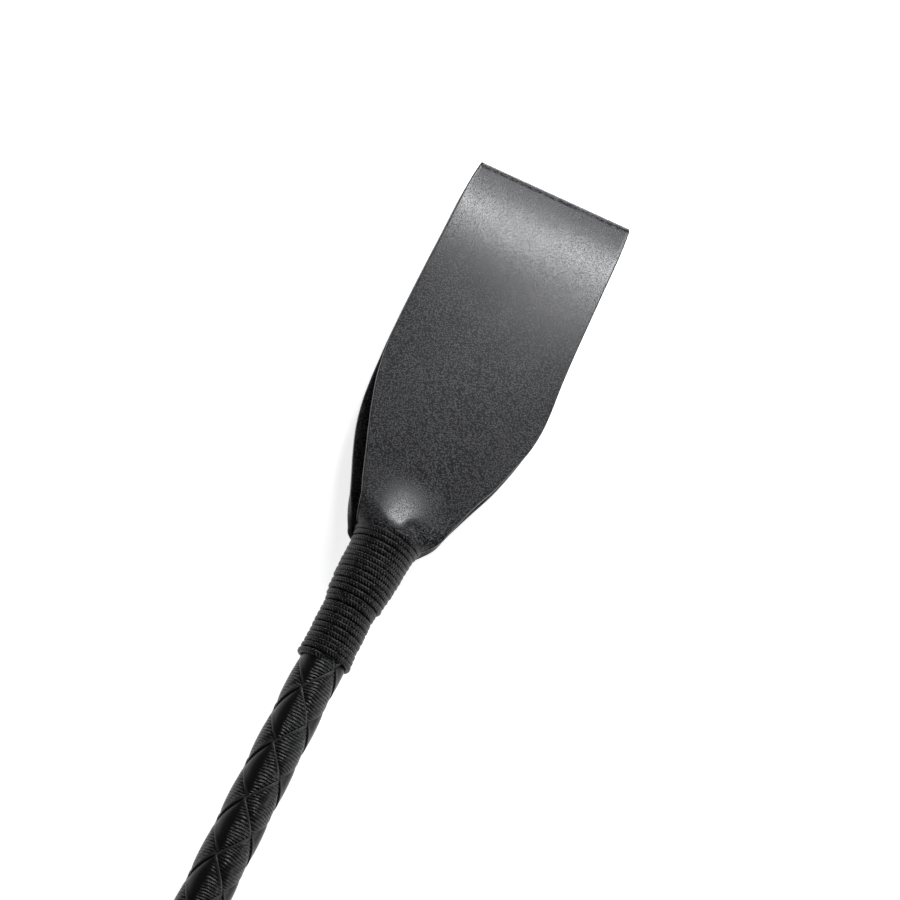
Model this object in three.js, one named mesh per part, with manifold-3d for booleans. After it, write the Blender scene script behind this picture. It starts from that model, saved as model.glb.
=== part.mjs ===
// Riding crop with a folded leather tongue.
//
// A tapered core rod runs from the butt cap to just past the whipping. Six flat laces are
// plaited over it, the tongue's two tails lie on the end of the plait, and a wound cord
// binds them down. The handle is a foam sleeve under a leather cover, with a drilled cap
// whose cross hole carries the wrist strap.
//
// Millimetres. +X runs along the crop from the butt face (x = 0) to the fold of the tongue,
// +Z is up, and the tongue lies flat with its leaves facing up and down.

import * as THREE from 'three';
import { mergeVertices } from 'three/addons/utils/BufferGeometryUtils.js';
import Module from 'manifold-3d';

// ---------------------------------------------------------------- driving dimensions

const CLEARANCE = 0.3; // between two pieces that touch on the real crop

// butt cap and its cross hole
const CAP_LENGTH = 40;
const CAP_WALL = 1.7; // round the handle's end
const CAP_FLOOR = 24; // solid length behind the socket
const CAP_EDGE = 2.5; // rounding of the butt face's rim
const HOLE_FROM_BUTT = 14;
const PIN_RADIUS = 1.2;

// handle
const GRIP_END = 165; // from the butt face to the front of the leather cover
const GRIP_RADIUS = 10.5; // outside of the leather cover
const COVER_THICKNESS = 1.4;
const COVER_TAPER = 12; // length over which the cover narrows to the plait
const COVER_FRONT = 14; // length of the cover that is bound down on the plait

// core rod
const ROD_BUTT_RADIUS = 4.7;
const ROD_FRONT_RADIUS = 3.5; // where the tongue's whipping starts
const ROD_TIP_RADIUS = 3.1; // under the whipping and between the leaves
const ROD_TIP_REACH = 9; // past the whipping, between the leaves
const NECKING = 4; // length over which the rod steps down to its tip

// plait
const SHAFT_END = 381.6; // where the tongue's whipping starts
const LACE_THICKNESS = 0.75;
const LACE_GAP = 0.34; // between the rod and a lace, and between two crossing laces
const PLAIT_LAY = 46; // length of one full turn of a lace
const PLAIT_SHIFT = -2; // of all crossings along the shaft
const PLAIT_TURN = 24; // of all crossings round the shaft, in degrees
const LACES_EACH_WAY = 3;
const LACE_COVER = 0.87; // share of its pitch that a lace fills

// whippings: one cord, wound tight
const CORD_RADIUS = 0.64;
const CORD_PITCH = 1.56;
const TONGUE_TURNS = 24;
const GRIP_TURNS = 8;
const CORD_STEPS = 10; // segments in a turn
const CORD_SIDES = 5;

// tongue
const TONGUE_LENGTH = 101; // from the whipping to the outside of the fold
const TONGUE_THICKNESS = 1.8;
const TAIL_THICKNESS = 1.1; // pared down where it lies under the whipping
const TAIL_LENGTH = 19;
const TAIL_HALF_ANGLE = 74; // degrees of the shaft that a tail covers to each side
const NECK_HALF_WIDTH = 8.7;
const WIDEST_HALF_WIDTH = 22.9;
const FOLD_HALF_WIDTH = 21.4;
const NECK_TAPER = 48; // from the whipping to the widest place
const LEAF_HEIGHT = 2.3; // of a leaf's middle surface above the axis, and round the fold
const NECK_OPENING = 5; // length over which the tails' arc opens into the flat leaf
const NECK_SPREAD = 1.6; // how much farther apart the leaves' edges are at the neck
const SWELLING_WIDTH = 4.6; // of the swelling over the rod's end
const SWELLING_END = 26; // where the swelling has died away

// wrist strap
const STRAP_WIDTH = 8;
const STRAP_THICKNESS = 1.6;
const STRAP_BEND = 4; // radius of its middle line where it turns out of the hole
const LOOP_HALF_WIDTH = 36;
const LOOP_LENGTH = 168; // from the cross hole to the far end of the loop
const STRAP_CLEARANCE = 0.7; // between the strap's legs and the cap
const SEAM_FROM_CAP = 18; // length over which the legs come together
const SEAM_LENGTH = 16; // stretch where the layers lie together
const RIVET_RADIUS = 1.8;
const RIVET_HEAD_RADIUS = 4;
const RIVET_HEAD = 0.9;

// eyelets
const EYELET_BORE = 4.5;
const EYELET_WALL = 0.6;
const EYELET_FLANGE = 6.6;
const EYELET_DEPTH = 5;

// ---------------------------------------------------------------- sizes that follow

const capRadius = GRIP_RADIUS + CLEARANCE + CAP_WALL;
const handleStart = CAP_FLOOR + CLEARANCE;
const pinX = (CAP_FLOOR + CAP_LENGTH) / 2;

const sleeveRadius = GRIP_RADIUS - COVER_THICKNESS - CLEARANCE;
const sleeveEnd = GRIP_END - COVER_FRONT - COVER_TAPER;
const plaitStart = sleeveEnd + CLEARANCE;

const whippingEnd = SHAFT_END + TONGUE_TURNS * CORD_PITCH;
const rodTip = whippingEnd + ROD_TIP_REACH;
const plaitEnd = whippingEnd - CORD_PITCH;
const plaitStack = 2 * (LACE_GAP + LACE_THICKNESS); // from the rod to the outside of the plait

const turnRatio = Math.cos(Math.PI / CORD_STEPS); // a flat's distance over a corner's
const plaitFrontRadius = ROD_TIP_RADIUS + plaitStack;
const tailRadius = plaitFrontRadius + CLEARANCE + TAIL_THICKNESS / 2;

const strapHoleRadius = EYELET_BORE + EYELET_WALL + CLEARANCE;
const spotFace = capRadius - 1.5; // distance of the eyelets' seats from the axis

// ---------------------------------------------------------------- helpers

const crop = new THREE.Group();

function addPiece(name, geometry, color, roughness, metalness = 0) {
  const material = new THREE.MeshStandardMaterial({ color, roughness, metalness });
  const mesh = new THREE.Mesh(geometry, material);
  mesh.name = name;
  crop.add(mesh);
  return mesh;
}

function smooth(x, from, to) {
  return THREE.MathUtils.smoothstep(x, from, to);
}

// A profile of [x, radius] points turned round the X axis.
function turned(profile, segments = 24) {
  const points = profile.map(([x, r]) => new THREE.Vector2(r, x));
  return new THREE.LatheGeometry(points, segments).rotateZ(-Math.PI / 2);
}

// A round bar between two places on a line parallel to Y or Z.
function bar(radius, length, axis, center, segments = 20) {
  const geometry = new THREE.CylinderGeometry(radius, radius, length, segments);
  if (axis === 'z') geometry.rotateX(Math.PI / 2);
  return geometry.translate(...center);
}

// A closed slab between an outer and an inner grid of points with as many rows and columns.
function slab(outer, inner) {
  const rows = outer.length;
  const columns = outer[0].length;
  const positions = [];
  for (const grid of [outer, inner]) {
    for (const row of grid) {
      for (const point of row) positions.push(point.x, point.y, point.z);
    }
  }
  const innerStart = rows * columns;
  const index = [];
  const quad = (a, b, c, d) => index.push(a, b, d, b, c, d);
  for (let i = 0; i + 1 < rows; i += 1) {
    for (let j = 0; j + 1 < columns; j += 1) {
      const corner = i * columns + j;
      quad(corner, corner + columns, corner + columns + 1, corner + 1);
      const under = corner + innerStart;
      quad(under + columns + 1, under + columns, under, under + 1);
    }
  }
  for (let i = 0; i + 1 < rows; i += 1) {
    const near = i * columns;
    quad(near, near + innerStart, near + columns + innerStart, near + columns);
    const far = near + columns - 1;
    quad(far, far + columns, far + columns + innerStart, far + innerStart);
  }
  for (let j = 0; j + 1 < columns; j += 1) {
    quad(j, j + 1, j + 1 + innerStart, j + innerStart);
    const last = (rows - 1) * columns + j;
    quad(last, last + innerStart, last + 1 + innerStart, last + 1);
  }
  const geometry = new THREE.BufferGeometry();
  geometry.setAttribute('position', new THREE.Float32BufferAttribute(positions, 3));
  geometry.setIndex(index);
  geometry.computeVertexNormals();
  return geometry;
}

const wasm = await Module();
wasm.setup();

function toSolid(geometry) {
  const bare = geometry.clone();
  bare.deleteAttribute('normal');
  bare.deleteAttribute('uv');
  const merged = mergeVertices(bare, 1e-4);
  return new wasm.Manifold(new wasm.Mesh({
    numProp: 3,
    vertProperties: new Float32Array(merged.attributes.position.array),
    triVerts: new Uint32Array(merged.index.array),
  }));
}

// The first geometry with the others cut out of it.
function cut(body, ...tools) {
  let solid = toSolid(body);
  for (const tool of tools) solid = solid.subtract(toSolid(tool));
  const mesh = solid.getMesh();
  const geometry = new THREE.BufferGeometry();
  geometry.setAttribute('position', new THREE.BufferAttribute(mesh.vertProperties, 3));
  geometry.setIndex(new THREE.BufferAttribute(mesh.triVerts, 1));
  geometry.computeVertexNormals();
  return geometry;
}

// ---------------------------------------------------------------- core rod

function rodRadius(x) {
  const handleToShaft = THREE.MathUtils.mapLinear(
    x, handleStart, SHAFT_END, ROD_BUTT_RADIUS, ROD_FRONT_RADIUS);
  const shaftToTip = THREE.MathUtils.mapLinear(
    x, SHAFT_END, SHAFT_END + NECKING, ROD_FRONT_RADIUS, ROD_TIP_RADIUS);
  return x < SHAFT_END ? handleToShaft : Math.max(shaftToTip, ROD_TIP_RADIUS);
}

const rodProfile = [[handleStart, 0], [handleStart, ROD_BUTT_RADIUS]];
rodProfile.push([SHAFT_END, ROD_FRONT_RADIUS], [SHAFT_END + NECKING, ROD_TIP_RADIUS]);
for (let step = 0; step <= 4; step += 1) {
  const turn = (step / 4) * (Math.PI / 2);
  const along = rodTip - ROD_TIP_RADIUS * (1 - Math.sin(turn));
  rodProfile.push([along, step === 4 ? 0 : ROD_TIP_RADIUS * Math.cos(turn)]);
}
const pinHole = bar(PIN_RADIUS + CLEARANCE, 4 * capRadius, 'z', [pinX, 0, 0], 12);
addPiece('core_rod', cut(turned(rodProfile, 16), pinHole), 0xb9b08c, 0.5);

// ---------------------------------------------------------------- plaited laces

// Laces of the right-hand family climb round the shaft one way, the left-hand family the
// other. Places on the shaft are counted in laces across each family: whole numbers lie
// on the middle line of a lace, so each crossing is a pair of whole numbers.
function lace(own, rightHanded) {
  const crossing = PLAIT_LAY / (2 * LACES_EACH_WAY); // shaft length from crossing to crossing
  const stepAngle = Math.PI / LACES_EACH_WAY;
  const half = LACE_COVER / 2;
  const outer = [];
  const inner = [];
  const side = rightHanded ? 1 : -1;
  const first = Math.ceil((plaitStart - PLAIT_SHIFT) / crossing + LACE_COVER);
  const last = Math.floor((plaitEnd - PLAIT_SHIFT) / crossing - LACE_COVER);
  for (let level = first; level <= last; level += 1) {
    // the right-hand laces lie on top at even crossings, the left-hand laces at odd ones
    const onTop = (level % 2 === 0) === rightHanded;
    for (const ahead of [-half, 0, half]) {
      const outerRow = [];
      const innerRow = [];
      for (const across of [-half, 0, half]) {
        const x = PLAIT_SHIFT + (level + ahead - across) * crossing;
        const turn = THREE.MathUtils.degToRad(PLAIT_TURN)
          + side * (2 * own + level + ahead + across) * stepAngle;
        const underside = rodRadius(x) + LACE_GAP + (onTop ? LACE_THICKNESS + LACE_GAP : 0);
        const topside = underside + LACE_THICKNESS;
        outerRow.push(new THREE.Vector3(
          x, topside * Math.sin(turn), topside * Math.cos(turn)));
        innerRow.push(new THREE.Vector3(
          x, underside * Math.sin(turn), underside * Math.cos(turn)));
      }
      outer.push(outerRow);
      inner.push(innerRow);
    }
  }
  return rightHanded ? slab(outer, inner) : slab(inner, outer);
}

for (let own = 0; own < LACES_EACH_WAY; own += 1) {
  addPiece(`plait_lace_${own + 1}`, lace(own, true), 0x17171a, 0.42);
  addPiece(`plait_lace_${own + 1 + LACES_EACH_WAY}`, lace(own, false), 0x17171a, 0.42);
}

// ---------------------------------------------------------------- tongue

// Half the width of the strip at a distance past the whipping.
function leafHalfWidth(past) {
  if (past < NECK_TAPER) {
    const open = 1 - (1 - Math.max(past, 0) / NECK_TAPER) ** 1.6;
    return THREE.MathUtils.lerp(NECK_HALF_WIDTH, WIDEST_HALF_WIDTH, open);
  }
  return THREE.MathUtils.mapLinear(
    past, NECK_TAPER, TONGUE_LENGTH, WIDEST_HALF_WIDTH, FOLD_HALF_WIDTH);
}

// A place on the middle surface of the upper leaf: past is the distance past the whipping,
// across runs from -1 to 1. The tails are arcs round the plait, and the leaf opens out of
// them into a flat sheet with a swelling over the rod's end.
function leafPoint(past, across) {
  const angle = across * THREE.MathUtils.degToRad(TAIL_HALF_ANGLE);
  const y = leafHalfWidth(past) * across;
  const spread = NECK_SPREAD * (1 - smooth(past, NECK_OPENING, NECK_TAPER));
  const rise = tailRadius - LEAF_HEIGHT - NECK_SPREAD;
  const swelling = rise * (1 - smooth(past, ROD_TIP_REACH, SWELLING_END));
  const z = LEAF_HEIGHT + spread + swelling * Math.exp(-((y / SWELLING_WIDTH) ** 2));
  const open = smooth(past, 0, NECK_OPENING);
  return new THREE.Vector3(
    whippingEnd + past,
    THREE.MathUtils.lerp(tailRadius * Math.sin(angle), y, open),
    THREE.MathUtils.lerp(tailRadius * Math.cos(angle), z, open),
  );
}

function tongue() {
  const foldStart = TONGUE_LENGTH - TONGUE_THICKNESS / 2 - LEAF_HEIGHT;
  const stations = [-TAIL_LENGTH, -TAIL_LENGTH / 2, -1, 1.5, 4, 7, 10, 14, 19, 25, 32, 40];
  stations.push(NECK_TAPER, (NECK_TAPER + foldStart) / 2, foldStart);
  const columns = [-1, -0.8, -0.6, -0.4, -0.2, 0, 0.2, 0.4, 0.6, 0.8, 1];
  const upper = stations.map((past) => columns.map((across) => leafPoint(past, across)));
  const lower = upper.map((row) => row.map((point) => (
    new THREE.Vector3(point.x, point.y, -point.z)))).reverse();
  const foldSteps = 4;
  const fold = [];
  for (let step = 1; step < foldSteps; step += 1) {
    const turn = (step / foldSteps) * Math.PI;
    const past = foldStart + LEAF_HEIGHT * Math.sin(turn);
    fold.push(columns.map((across) => new THREE.Vector3(
      whippingEnd + past,
      leafHalfWidth(past) * across,
      LEAF_HEIGHT * Math.cos(turn),
    )));
  }
  const middle = [...upper, ...fold, ...lower];
  const outer = [];
  const inner = [];
  middle.forEach((row, i) => {
    const before = middle[Math.max(i - 1, 0)];
    const after = middle[Math.min(i + 1, middle.length - 1)];
    const tail = row[0].x < whippingEnd;
    const half = (tail ? TAIL_THICKNESS : TONGUE_THICKNESS) / 2;
    const normals = row.map((point, j) => {
      const along = after[j].clone().sub(before[j]);
      const left = row[Math.max(j - 1, 0)];
      const right = row[Math.min(j + 1, row.length - 1)];
      return along.cross(right.clone().sub(left)).normalize();
    });
    outer.push(row.map((point, j) => point.clone().addScaledVector(normals[j], half)));
    inner.push(row.map((point, j) => point.clone().addScaledVector(normals[j], -half)));
  });
  return slab(outer, inner);
}

addPiece('tongue', tongue(), 0x1c1c1f, 0.45);

// ---------------------------------------------------------------- whippings

class WoundCord extends THREE.Curve {
  constructor(start, turns, radiusAt) {
    super();
    this.start = start;
    this.turns = turns;
    this.radiusAt = radiusAt;
    this.arcLengthDivisions = turns * CORD_STEPS * 4;
  }

  getPoint(t, target = new THREE.Vector3()) {
    const x = this.start + t * this.turns * CORD_PITCH;
    const turn = t * this.turns * 2 * Math.PI;
    const radius = this.radiusAt(x);
    return target.set(x, radius * Math.sin(turn), radius * Math.cos(turn));
  }
}

function whipping(start, turns, radiusUnder) {
  const radiusAt = (x) => (radiusUnder(x) + CLEARANCE) / turnRatio + CORD_RADIUS;
  const section = new THREE.Shape();
  for (let side = 0; side < CORD_SIDES; side += 1) {
    const turn = (side / CORD_SIDES) * 2 * Math.PI;
    const corner = [CORD_RADIUS * Math.cos(turn), CORD_RADIUS * Math.sin(turn)];
    if (side === 0) section.moveTo(...corner);
    else section.lineTo(...corner);
  }
  return new THREE.ExtrudeGeometry(section, {
    steps: turns * CORD_STEPS,
    extrudePath: new WoundCord(start, turns, radiusAt),
    curveSegments: 1,
  });
}

// over the end of the plait first, then up onto the tongue's tails
function underTongueWhipping(x) {
  const tailEnd = whippingEnd - TAIL_LENGTH;
  const onTails = smooth(x, tailEnd - 2 * CORD_PITCH, tailEnd - CORD_PITCH);
  const plait = rodRadius(x) + plaitStack;
  return THREE.MathUtils.lerp(plait, tailRadius + TAIL_THICKNESS / 2, onTails);
}

const tongueWhippingStart = SHAFT_END + CORD_PITCH / 2;
addPiece(
  'tongue_whipping',
  whipping(tongueWhippingStart, TONGUE_TURNS - 1, underTongueWhipping),
  0x1a1a1d,
  0.7,
);

// over the cover's front end, where it is bound down on the plait
function coverFrontRadius(x) {
  return rodRadius(x) + plaitStack + CLEARANCE + COVER_THICKNESS;
}

const gripWhippingLength = GRIP_TURNS * CORD_PITCH;
const gripWhippingStart = GRIP_END - (COVER_FRONT + gripWhippingLength) / 2;
addPiece(
  'grip_whipping',
  whipping(gripWhippingStart, GRIP_TURNS, coverFrontRadius),
  0x1a1a1d,
  0.7,
);

// ---------------------------------------------------------------- handle

const sleeveBore = ROD_BUTT_RADIUS + CLEARANCE;
const sleeve = turned([
  [handleStart, sleeveBore],
  [handleStart, sleeveRadius],
  [sleeveEnd, sleeveRadius],
  [sleeveEnd, sleeveBore],
  [handleStart, sleeveBore],
]);
addPiece('grip_sleeve', cut(sleeve, pinHole), 0x2b2b2b, 0.9);

const coverBore = sleeveRadius + CLEARANCE;
const taperEnd = sleeveEnd + COVER_TAPER;
const frontBore = (x) => coverFrontRadius(x) - COVER_THICKNESS;
const cover = turned([
  [handleStart, coverBore],
  [handleStart, GRIP_RADIUS],
  [sleeveEnd, GRIP_RADIUS],
  [taperEnd, coverFrontRadius(taperEnd)],
  [GRIP_END, coverFrontRadius(GRIP_END)],
  [GRIP_END, frontBore(GRIP_END)],
  [taperEnd, frontBore(taperEnd)],
  [sleeveEnd + CLEARANCE, coverBore],
  [handleStart, coverBore],
]);
addPiece('grip_leather', cut(cover, pinHole), 0x1b1b1e, 0.5);

// ---------------------------------------------------------------- butt cap

function buttCap() {
  const profile = [[0, 0]];
  for (let step = 0; step <= 3; step += 1) {
    const turn = (step / 3) * (Math.PI / 2);
    profile.push([
      CAP_EDGE * (1 - Math.cos(turn)),
      capRadius - CAP_EDGE * (1 - Math.sin(turn)),
    ]);
  }
  const socketRadius = GRIP_RADIUS + CLEARANCE;
  profile.push(
    [CAP_LENGTH - CAP_WALL / 2, capRadius],
    [CAP_LENGTH, capRadius - CAP_WALL / 2],
    [CAP_LENGTH, socketRadius],
    [CAP_FLOOR, socketRadius],
    [CAP_FLOOR, 0],
  );
  const strapHole = bar(strapHoleRadius, 4 * capRadius, 'y', [HOLE_FROM_BUTT, 0, 0]);
  const seatRadius = EYELET_FLANGE + CLEARANCE;
  const seatDepth = capRadius;
  const seats = [-1, 1].map((side) => (
    bar(seatRadius, seatDepth, 'y', [HOLE_FROM_BUTT, side * (spotFace + seatDepth / 2), 0])));
  return cut(turned(profile, 32), strapHole, ...seats, pinHole);
}

addPiece('butt_cap', buttCap(), 0x151517, 0.55);

const pinLength = 2 * (capRadius - CLEARANCE);
addPiece('cap_pin', bar(PIN_RADIUS, pinLength, 'z', [pinX, 0, 0], 12), 0x8d8d90, 0.35, 1);

// ---------------------------------------------------------------- eyelets

const flangeFace = spotFace + CLEARANCE + EYELET_WALL; // outside of a flange from the axis

function eyelet(side) {
  const tubeRadius = EYELET_BORE + EYELET_WALL;
  const profile = [
    [EYELET_BORE, flangeFace - EYELET_DEPTH],
    [tubeRadius, flangeFace - EYELET_DEPTH],
    [tubeRadius, flangeFace - EYELET_WALL],
    [EYELET_FLANGE, flangeFace - EYELET_WALL],
    [EYELET_FLANGE, flangeFace - EYELET_WALL / 3],
    [EYELET_FLANGE - EYELET_WALL, flangeFace],
    [EYELET_BORE + EYELET_WALL / 2, flangeFace],
    [EYELET_BORE, flangeFace - EYELET_WALL / 2],
    [EYELET_BORE, flangeFace - EYELET_DEPTH],
  ];
  const points = profile.map(([radius, y]) => new THREE.Vector2(radius, y));
  const geometry = new THREE.LatheGeometry(points, 20);
  if (side < 0) geometry.rotateZ(Math.PI);
  return geometry.translate(HOLE_FROM_BUTT, 0, 0);
}

addPiece('eyelet_left', eyelet(1), 0x6e6e72, 0.3, 1);
addPiece('eyelet_right', eyelet(-1), 0x6e6e72, 0.3, 1);

// ---------------------------------------------------------------- wrist strap

// The strap's middle line, seen from above with the cross hole at the origin: from its
// first end at the seam, along one side of the cap, through the hole, back along the other
// side, round the hand loop, and home between the two legs.
const legOffset = capRadius + STRAP_CLEARANCE + STRAP_THICKNESS / 2;
const layerPitch = STRAP_THICKNESS + CLEARANCE;
const sideRun = -Math.hypot(HOLE_FROM_BUTT, capRadius) - 1; // legs run straight past the cap
const seamStart = sideRun - SEAM_FROM_CAP;
const seamEnd = seamStart - SEAM_LENGTH;

function strapLine() {
  const line = new THREE.CurvePath();
  const point = (x, y) => new THREE.Vector2(x, y);
  const straight = (a, b) => line.add(new THREE.LineCurve(a, b));
  const ease = (a, b, pull) => line.add(new THREE.CubicBezierCurve(
    a, point(a.x + pull, a.y), point(b.x - pull, b.y), b));
  const bend = (side) => {
    const corner = legOffset - STRAP_BEND;
    const curve = new THREE.EllipseCurve(
      -STRAP_BEND, side * corner, STRAP_BEND, STRAP_BEND, ...(side < 0
        ? [-Math.PI / 2, 0, false]
        : [0, Math.PI / 2, false]));
    line.add(curve);
  };

  // first end, along the side at -Y, to the hole
  straight(point(seamEnd, -layerPitch), point(seamStart, -layerPitch));
  ease(point(seamStart, -layerPitch), point(sideRun, -legOffset), SEAM_FROM_CAP / 2);
  straight(point(sideRun, -legOffset), point(-STRAP_BEND, -legOffset));
  bend(-1);
  straight(point(0, STRAP_BEND - legOffset), point(0, legOffset - STRAP_BEND));
  bend(1);
  straight(point(-STRAP_BEND, legOffset), point(sideRun, legOffset));
  ease(point(sideRun, legOffset), point(seamStart, layerPitch), -SEAM_FROM_CAP / 2);
  straight(point(seamStart, layerPitch), point(seamEnd - 1, layerPitch));

  // hand loop, ending as the middle layer of the seam
  const endCentre = LOOP_HALF_WIDTH - LOOP_LENGTH;
  const swing = (seamEnd - endCentre) / 2;
  ease(point(seamEnd - 1, layerPitch), point(endCentre, LOOP_HALF_WIDTH), -swing);
  line.add(new THREE.EllipseCurve(
    endCentre, 0, LOOP_HALF_WIDTH, LOOP_HALF_WIDTH, Math.PI / 2, 1.5 * Math.PI, false));
  ease(point(endCentre, -LOOP_HALF_WIDTH), point(seamEnd - 1, 0), swing);
  straight(point(seamEnd - 1, 0), point(seamStart, 0));
  return line;
}

// The strap's outline: the middle line offset by half the thickness to both sides.
function strapOutline() {
  const line = strapLine().getPoints(6);
  const sides = [[], []];
  line.forEach((at, i) => {
    const before = line[Math.max(i - 1, 0)];
    const after = line[Math.min(i + 1, line.length - 1)];
    const arriving = at.clone().sub(before).normalize();
    const leaving = after.clone().sub(at).normalize();
    const along = arriving.clone().add(leaving).normalize();
    const cosine = Math.max(along.dot(arriving), along.dot(leaving));
    const half = STRAP_THICKNESS / 2 / cosine;
    sides[0].push(new THREE.Vector2(at.x - along.y * half, at.y + along.x * half));
    sides[1].push(new THREE.Vector2(at.x + along.y * half, at.y - along.x * half));
  });
  return new THREE.Shape([...sides[0], ...sides[1].reverse()]);
}

// The loop hangs down until its far end lies level with the lowest side of the cap.
const loopReach = LOOP_LENGTH + STRAP_THICKNESS / 2;
const loopEdge = STRAP_WIDTH / 2;
const droop = Math.asin(capRadius / Math.hypot(loopReach, loopEdge))
  - Math.atan2(loopEdge, loopReach);

function hung(geometry) {
  return geometry.rotateY(-droop).translate(HOLE_FROM_BUTT, 0, 0);
}

const seamMiddle = (seamStart + seamEnd) / 2;
const strap = new THREE.ExtrudeGeometry(strapOutline(), {
  depth: STRAP_WIDTH,
  bevelEnabled: false,
  curveSegments: 1,
}).translate(0, 0, -STRAP_WIDTH / 2);
const rivetHole = bar(RIVET_RADIUS + CLEARANCE, 8 * STRAP_THICKNESS, 'y', [seamMiddle, 0, 0], 12);
addPiece('wrist_strap', hung(cut(strap, rivetHole)), 0x1b1b1e, 0.5);

function rivet() {
  const seat = layerPitch + STRAP_THICKNESS / 2 + CLEARANCE;
  const profile = [
    [0, -seat - RIVET_HEAD],
    [RIVET_HEAD_RADIUS - RIVET_HEAD, -seat - RIVET_HEAD],
    [RIVET_HEAD_RADIUS, -seat],
    [RIVET_RADIUS, -seat],
    [RIVET_RADIUS, seat],
    [RIVET_HEAD_RADIUS, seat],
    [RIVET_HEAD_RADIUS - RIVET_HEAD, seat + RIVET_HEAD],
    [0, seat + RIVET_HEAD],
  ];
  const points = profile.map(([radius, y]) => new THREE.Vector2(radius, y));
  return new THREE.LatheGeometry(points, 16).translate(seamMiddle, 0, 0);
}

addPiece('strap_rivet', hung(rivet()), 0x6e6e72, 0.3, 1);

export default crop;
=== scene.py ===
"""Riding crop with a folded leather tongue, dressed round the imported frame.

The crop lies along +X: butt cap at the origin, tongue at the far end. Every section makes
one piece, or one group of like pieces, in the order in which a whip maker adds them.
Shapes are worked out in millimetres and put into the meshes in metres.
"""

import bpy
import numpy as np
from mathutils import Matrix, Vector


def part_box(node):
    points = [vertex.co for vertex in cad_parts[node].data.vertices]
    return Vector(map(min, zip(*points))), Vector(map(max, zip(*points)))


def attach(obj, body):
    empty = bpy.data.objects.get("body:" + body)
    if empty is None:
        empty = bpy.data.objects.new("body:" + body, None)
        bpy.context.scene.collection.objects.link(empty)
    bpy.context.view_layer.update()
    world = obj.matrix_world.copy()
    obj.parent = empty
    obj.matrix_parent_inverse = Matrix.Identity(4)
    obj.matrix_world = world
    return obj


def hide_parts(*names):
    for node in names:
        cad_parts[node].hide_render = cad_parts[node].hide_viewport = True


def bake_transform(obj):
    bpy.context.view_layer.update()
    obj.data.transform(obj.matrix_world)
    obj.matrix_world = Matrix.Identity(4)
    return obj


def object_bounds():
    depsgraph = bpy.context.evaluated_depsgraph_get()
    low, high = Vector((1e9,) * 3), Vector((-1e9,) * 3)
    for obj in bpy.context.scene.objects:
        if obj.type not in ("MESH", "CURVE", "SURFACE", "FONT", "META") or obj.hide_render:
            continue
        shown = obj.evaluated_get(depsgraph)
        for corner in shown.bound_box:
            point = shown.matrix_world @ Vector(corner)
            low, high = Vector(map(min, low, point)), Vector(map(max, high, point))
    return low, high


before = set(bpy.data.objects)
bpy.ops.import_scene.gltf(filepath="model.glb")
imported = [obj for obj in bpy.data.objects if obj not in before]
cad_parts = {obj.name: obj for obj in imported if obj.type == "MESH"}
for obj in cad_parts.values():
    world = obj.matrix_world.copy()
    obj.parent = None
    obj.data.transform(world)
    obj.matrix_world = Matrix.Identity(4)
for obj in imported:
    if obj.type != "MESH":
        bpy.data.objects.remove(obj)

cad_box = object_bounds()

# ---------- core rod
# A tapered rod of drawn glass fibre, ground down under the whipping and rounded at its
# tip. Only the tip can be seen, in the gap between the tongue's two leaves.

MM = 0.001
on_axis = 0.02  # a turned profile ends this near the axis


def box_mm(node):
    """Lowest and highest corner of a CAD node in millimetres."""
    low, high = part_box(node)
    return np.array(low) / MM, np.array(high) / MM


def volume(points, faces):
    """Six times the volume that the faces enclose, below 0 if they face inwards."""
    a, b, c, d = (points[faces[:, k]] for k in range(4))
    return np.einsum("ij,ij->", a, np.cross(b, c)) + np.einsum("ij,ij->", a, np.cross(c, d))


def new_piece(name, points, faces, material):
    """A smooth-shaded piece of the scene, from points in metres."""
    mesh = bpy.data.meshes.new(name)
    mesh.from_pydata(points, [], faces)
    mesh.shade_smooth()
    mesh.materials.append(material)
    piece = bpy.data.objects.new(name, mesh)
    bpy.context.scene.collection.objects.link(piece)
    return piece


def tube_faces(rows, columns):
    """Faces of a tube of rows rings, each of columns points. Strips from side to side
    close both ends."""
    index = np.arange(rows * columns).reshape(rows, columns)
    right = np.roll(index, -1, axis=1)
    sides = np.stack([index[:-1], right[:-1], right[1:], index[1:]], -1).reshape(-1, 4)
    near = np.arange(columns // 2 - 1)
    far = columns - 1 - near
    first, last = index[0], index[-1]
    start = np.stack([first[near], first[far], first[far - 1], first[near + 1]], -1)
    end = np.stack([last[near], last[near + 1], last[far - 1], last[far]], -1)
    return np.concatenate([sides, start, end])


def tube(name, grid, material, u, v):
    """A closed tube: row i of the grid is the i-th ring of points. u and v are the UV
    values of the columns and of the rows."""
    rows, columns = grid.shape[:2]
    faces = tube_faces(rows, columns)
    points = grid.reshape(-1, 3) * MM
    across = np.append(u, 2 * u[-1] - u[-2])
    uv = np.zeros((len(faces), 4, 2), np.float32)
    sides = uv[:(rows - 1) * columns].reshape(rows - 1, columns, 4, 2)
    sides[..., 0] = np.stack([across[:-1], across[1:], across[1:], across[:-1]], -1)
    sides[..., 1] = np.stack([v[:-1], v[:-1], v[1:], v[1:]], -1)[:, None]
    if volume(points, faces) < 0:
        faces, uv = faces[:, ::-1], uv[:, ::-1]
    piece = new_piece(name, points, faces, material)
    piece.data.uv_layers.new(name="UVMap").data.foreach_set("uv", uv.ravel())
    return piece


def full_turn(steps):
    """Angles that go evenly once round."""
    return np.linspace(0, 2 * np.pi, steps, endpoint=False)


def polar(x, radius, turn):
    """Points round the X axis; turn 0 is the top."""
    return np.stack(np.broadcast_arrays(x, radius * np.sin(turn), radius * np.cos(turn)), -1)


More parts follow.
